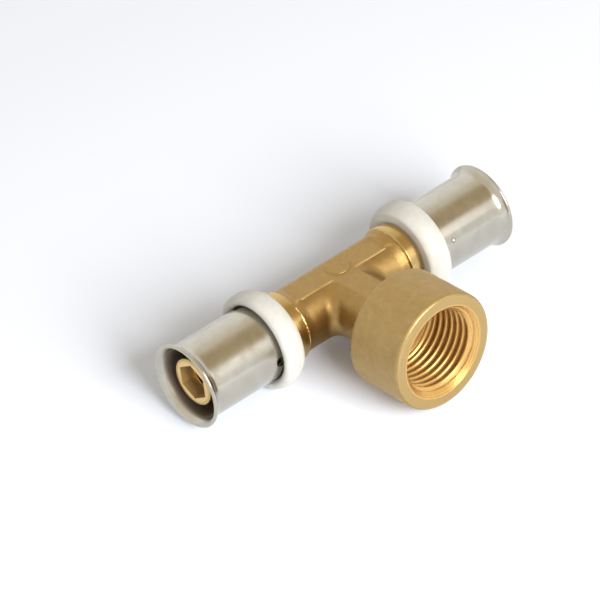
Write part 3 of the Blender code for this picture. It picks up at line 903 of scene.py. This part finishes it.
def camera_axes():
    """Unit vectors to the camera's right, up and back."""
    a, e, r = (math.radians(v) for v in (CAMERA_AZIMUTH, CAMERA_ELEVATION, CAMERA_ROLL))
    back = Vector((math.sin(a) * math.cos(e), -math.cos(a) * math.cos(e), math.sin(e)))
    right = Vector((math.cos(a), math.sin(a), 0))
    up = back.cross(right)
    turned_right = right * math.cos(r) - up * math.sin(r)
    turned_up = right * math.sin(r) + up * math.cos(r)
    return turned_right, turned_up, back


def make_camera():
    right, up, back = camera_axes()
    data = bpy.data.cameras.new("camera")
    data.lens = CAMERA_LENS
    data.clip_start = 0.01
    camera = bpy.data.objects.new("camera", data)
    bpy.context.scene.collection.objects.link(camera)
    crossing = Vector((0, AXIS_Y, AXIS_Z))
    spot = crossing + right * FRAMING_RIGHT + up * FRAMING_UP + back * CAMERA_DISTANCE
    turn = Matrix((right, up, back)).transposed().to_4x4()
    camera.matrix_world = Matrix.Translation(spot * MM) @ turn
    bpy.context.scene.camera = camera


def make_floor():
    up = Vector((0, -math.sin(REST_TILT), math.cos(REST_TILT)))
    across = Vector((1, 0, 0))
    forward = up.cross(across)
    touch = Vector((0, AXIS_Y, AXIS_Z)) * MM - up * (COLLAR_RADIUS + FLOOR_GAP) * MM
    half = FLOOR_SIZE / 2
    signs = ((-1, -1), (1, -1), (1, 1), (-1, 1))
    corners = [touch + across * u * half + forward * v * half for u, v in signs]
    mesh = bpy.data.meshes.new("floor")
    mesh.from_pydata([tuple(c) for c in corners], [], [(0, 1, 2, 3)])
    mesh.materials.append(floor_material())
    floor = bpy.data.objects.new("floor", mesh)
    bpy.context.scene.collection.objects.link(floor)


def make_light(name, aim, target, distance, size, radiance, diffuse=True, glossy=True):
    """Rectangular light that looks at a target from the direction aim.

    The target is in millimetres from the crossing, the distance and size in metres. Size is (width,
    length), and the length follows the circle round the run axis.
    """
    aim = Vector(aim).normalized()
    length = Vector((1, 0, 0)).cross(aim).normalized()
    width = length.cross(aim)
    data = bpy.data.lights.new(name, "AREA")
    data.shape = "RECTANGLE"
    data.size, data.size_y = size
    data.energy = radiance * math.pi * size[0] * size[1]
    light = bpy.data.objects.new(name, data)
    bpy.context.scene.collection.objects.link(light)
    crossing = Vector((0, AXIS_Y, AXIS_Z))
    spot = (crossing + Vector(target)) * MM + aim * distance
    light.matrix_world = Matrix.Translation(spot) @ Matrix((width, length, aim)).transposed().to_4x4()
    light.visible_camera = False
    light.visible_diffuse = diffuse
    light.visible_glossy = glossy


def make_world():
    """Studio surroundings: white at the horizon, warm overhead, brown above the front softbox."""
    world = bpy.data.worlds.new("studio")
    world.use_nodes = True
    tree = world.node_tree
    background = tree.nodes["Background"]
    direction = tree.nodes.new("ShaderNodeTexCoord").outputs["Generated"]

    def towards(axis, low, high):
        """0 to 1 as the cosine of the angle from the axis goes from low to high."""
        dot = tree.nodes.new("ShaderNodeVectorMath")
        dot.operation = "DOT_PRODUCT"
        tree.links.new(direction, dot.inputs[0])
        dot.inputs[1].default_value = Vector(axis).normalized()
        spread = tree.nodes.new("ShaderNodeMapRange")
        spread.interpolation_type = "SMOOTHSTEP"
        tree.links.new(dot.outputs["Value"], spread.inputs["Value"])
        spread.inputs["From Min"].default_value = low
        spread.inputs["From Max"].default_value = high
        return spread.outputs[0]

    def layer(factor, below, colour):
        """The colour below with another over it."""
        mix = tree.nodes.new("ShaderNodeMix")
        mix.data_type = "RGBA"
        tree.links.new(factor, mix.inputs[0])
        if isinstance(below, tuple):
            mix.inputs[6].default_value = (*below, 1)
        else:
            tree.links.new(below, mix.inputs[6])
        mix.inputs[7].default_value = (*colour, 1)
        return mix.outputs[2]

    up = (0, -math.sin(REST_TILT), math.cos(REST_TILT))
    sky = layer(towards(up, *WORLD_SKY_SPREAD), WORLD_HORIZON, WORLD_OVERHEAD)
    sky = layer(towards(WORLD_BROWN_AIM, *WORLD_BROWN_SPREAD), sky, WORLD_BROWN)
    sky = layer(towards(WORLD_BACK_AIM, *WORLD_BACK_SPREAD), sky, WORLD_BACK)
    tree.links.new(sky, background.inputs["Color"])
    bounce = tree.nodes.new("ShaderNodeMapRange")
    tree.links.new(tree.nodes.new("ShaderNodeLightPath").outputs["Is Diffuse Ray"], bounce.inputs["Value"])
    bounce.inputs["To Min"].default_value = 1.0
    bounce.inputs["To Max"].default_value = WORLD_DIFFUSE
    tree.links.new(bounce.outputs[0], background.inputs["Strength"])
    bpy.context.scene.world = world


def make_stage():
    """Floor, world and lights. The fill falls on surfaces; the other two are only reflected in them."""
    make_floor()
    make_world()
    crossing = (0, 0, 0)
    make_light("fill", FILL_AIM, crossing, SOFTBOX_DISTANCE, SOFTBOX_SIZE, FILL_RADIANCE, glossy=False)
    make_light("shine", SHINE_AIM, crossing, SOFTBOX_DISTANCE, SOFTBOX_SIZE, SHINE_RADIANCE, diffuse=False)
    make_light("key", KEY_AIM, KEY_TARGET, KEY_DISTANCE, KEY_SIZE, KEY_RADIANCE, diffuse=False)
    bpy.context.scene.view_settings.view_transform = "Standard"


make_pieces()
make_stage()
make_camera()
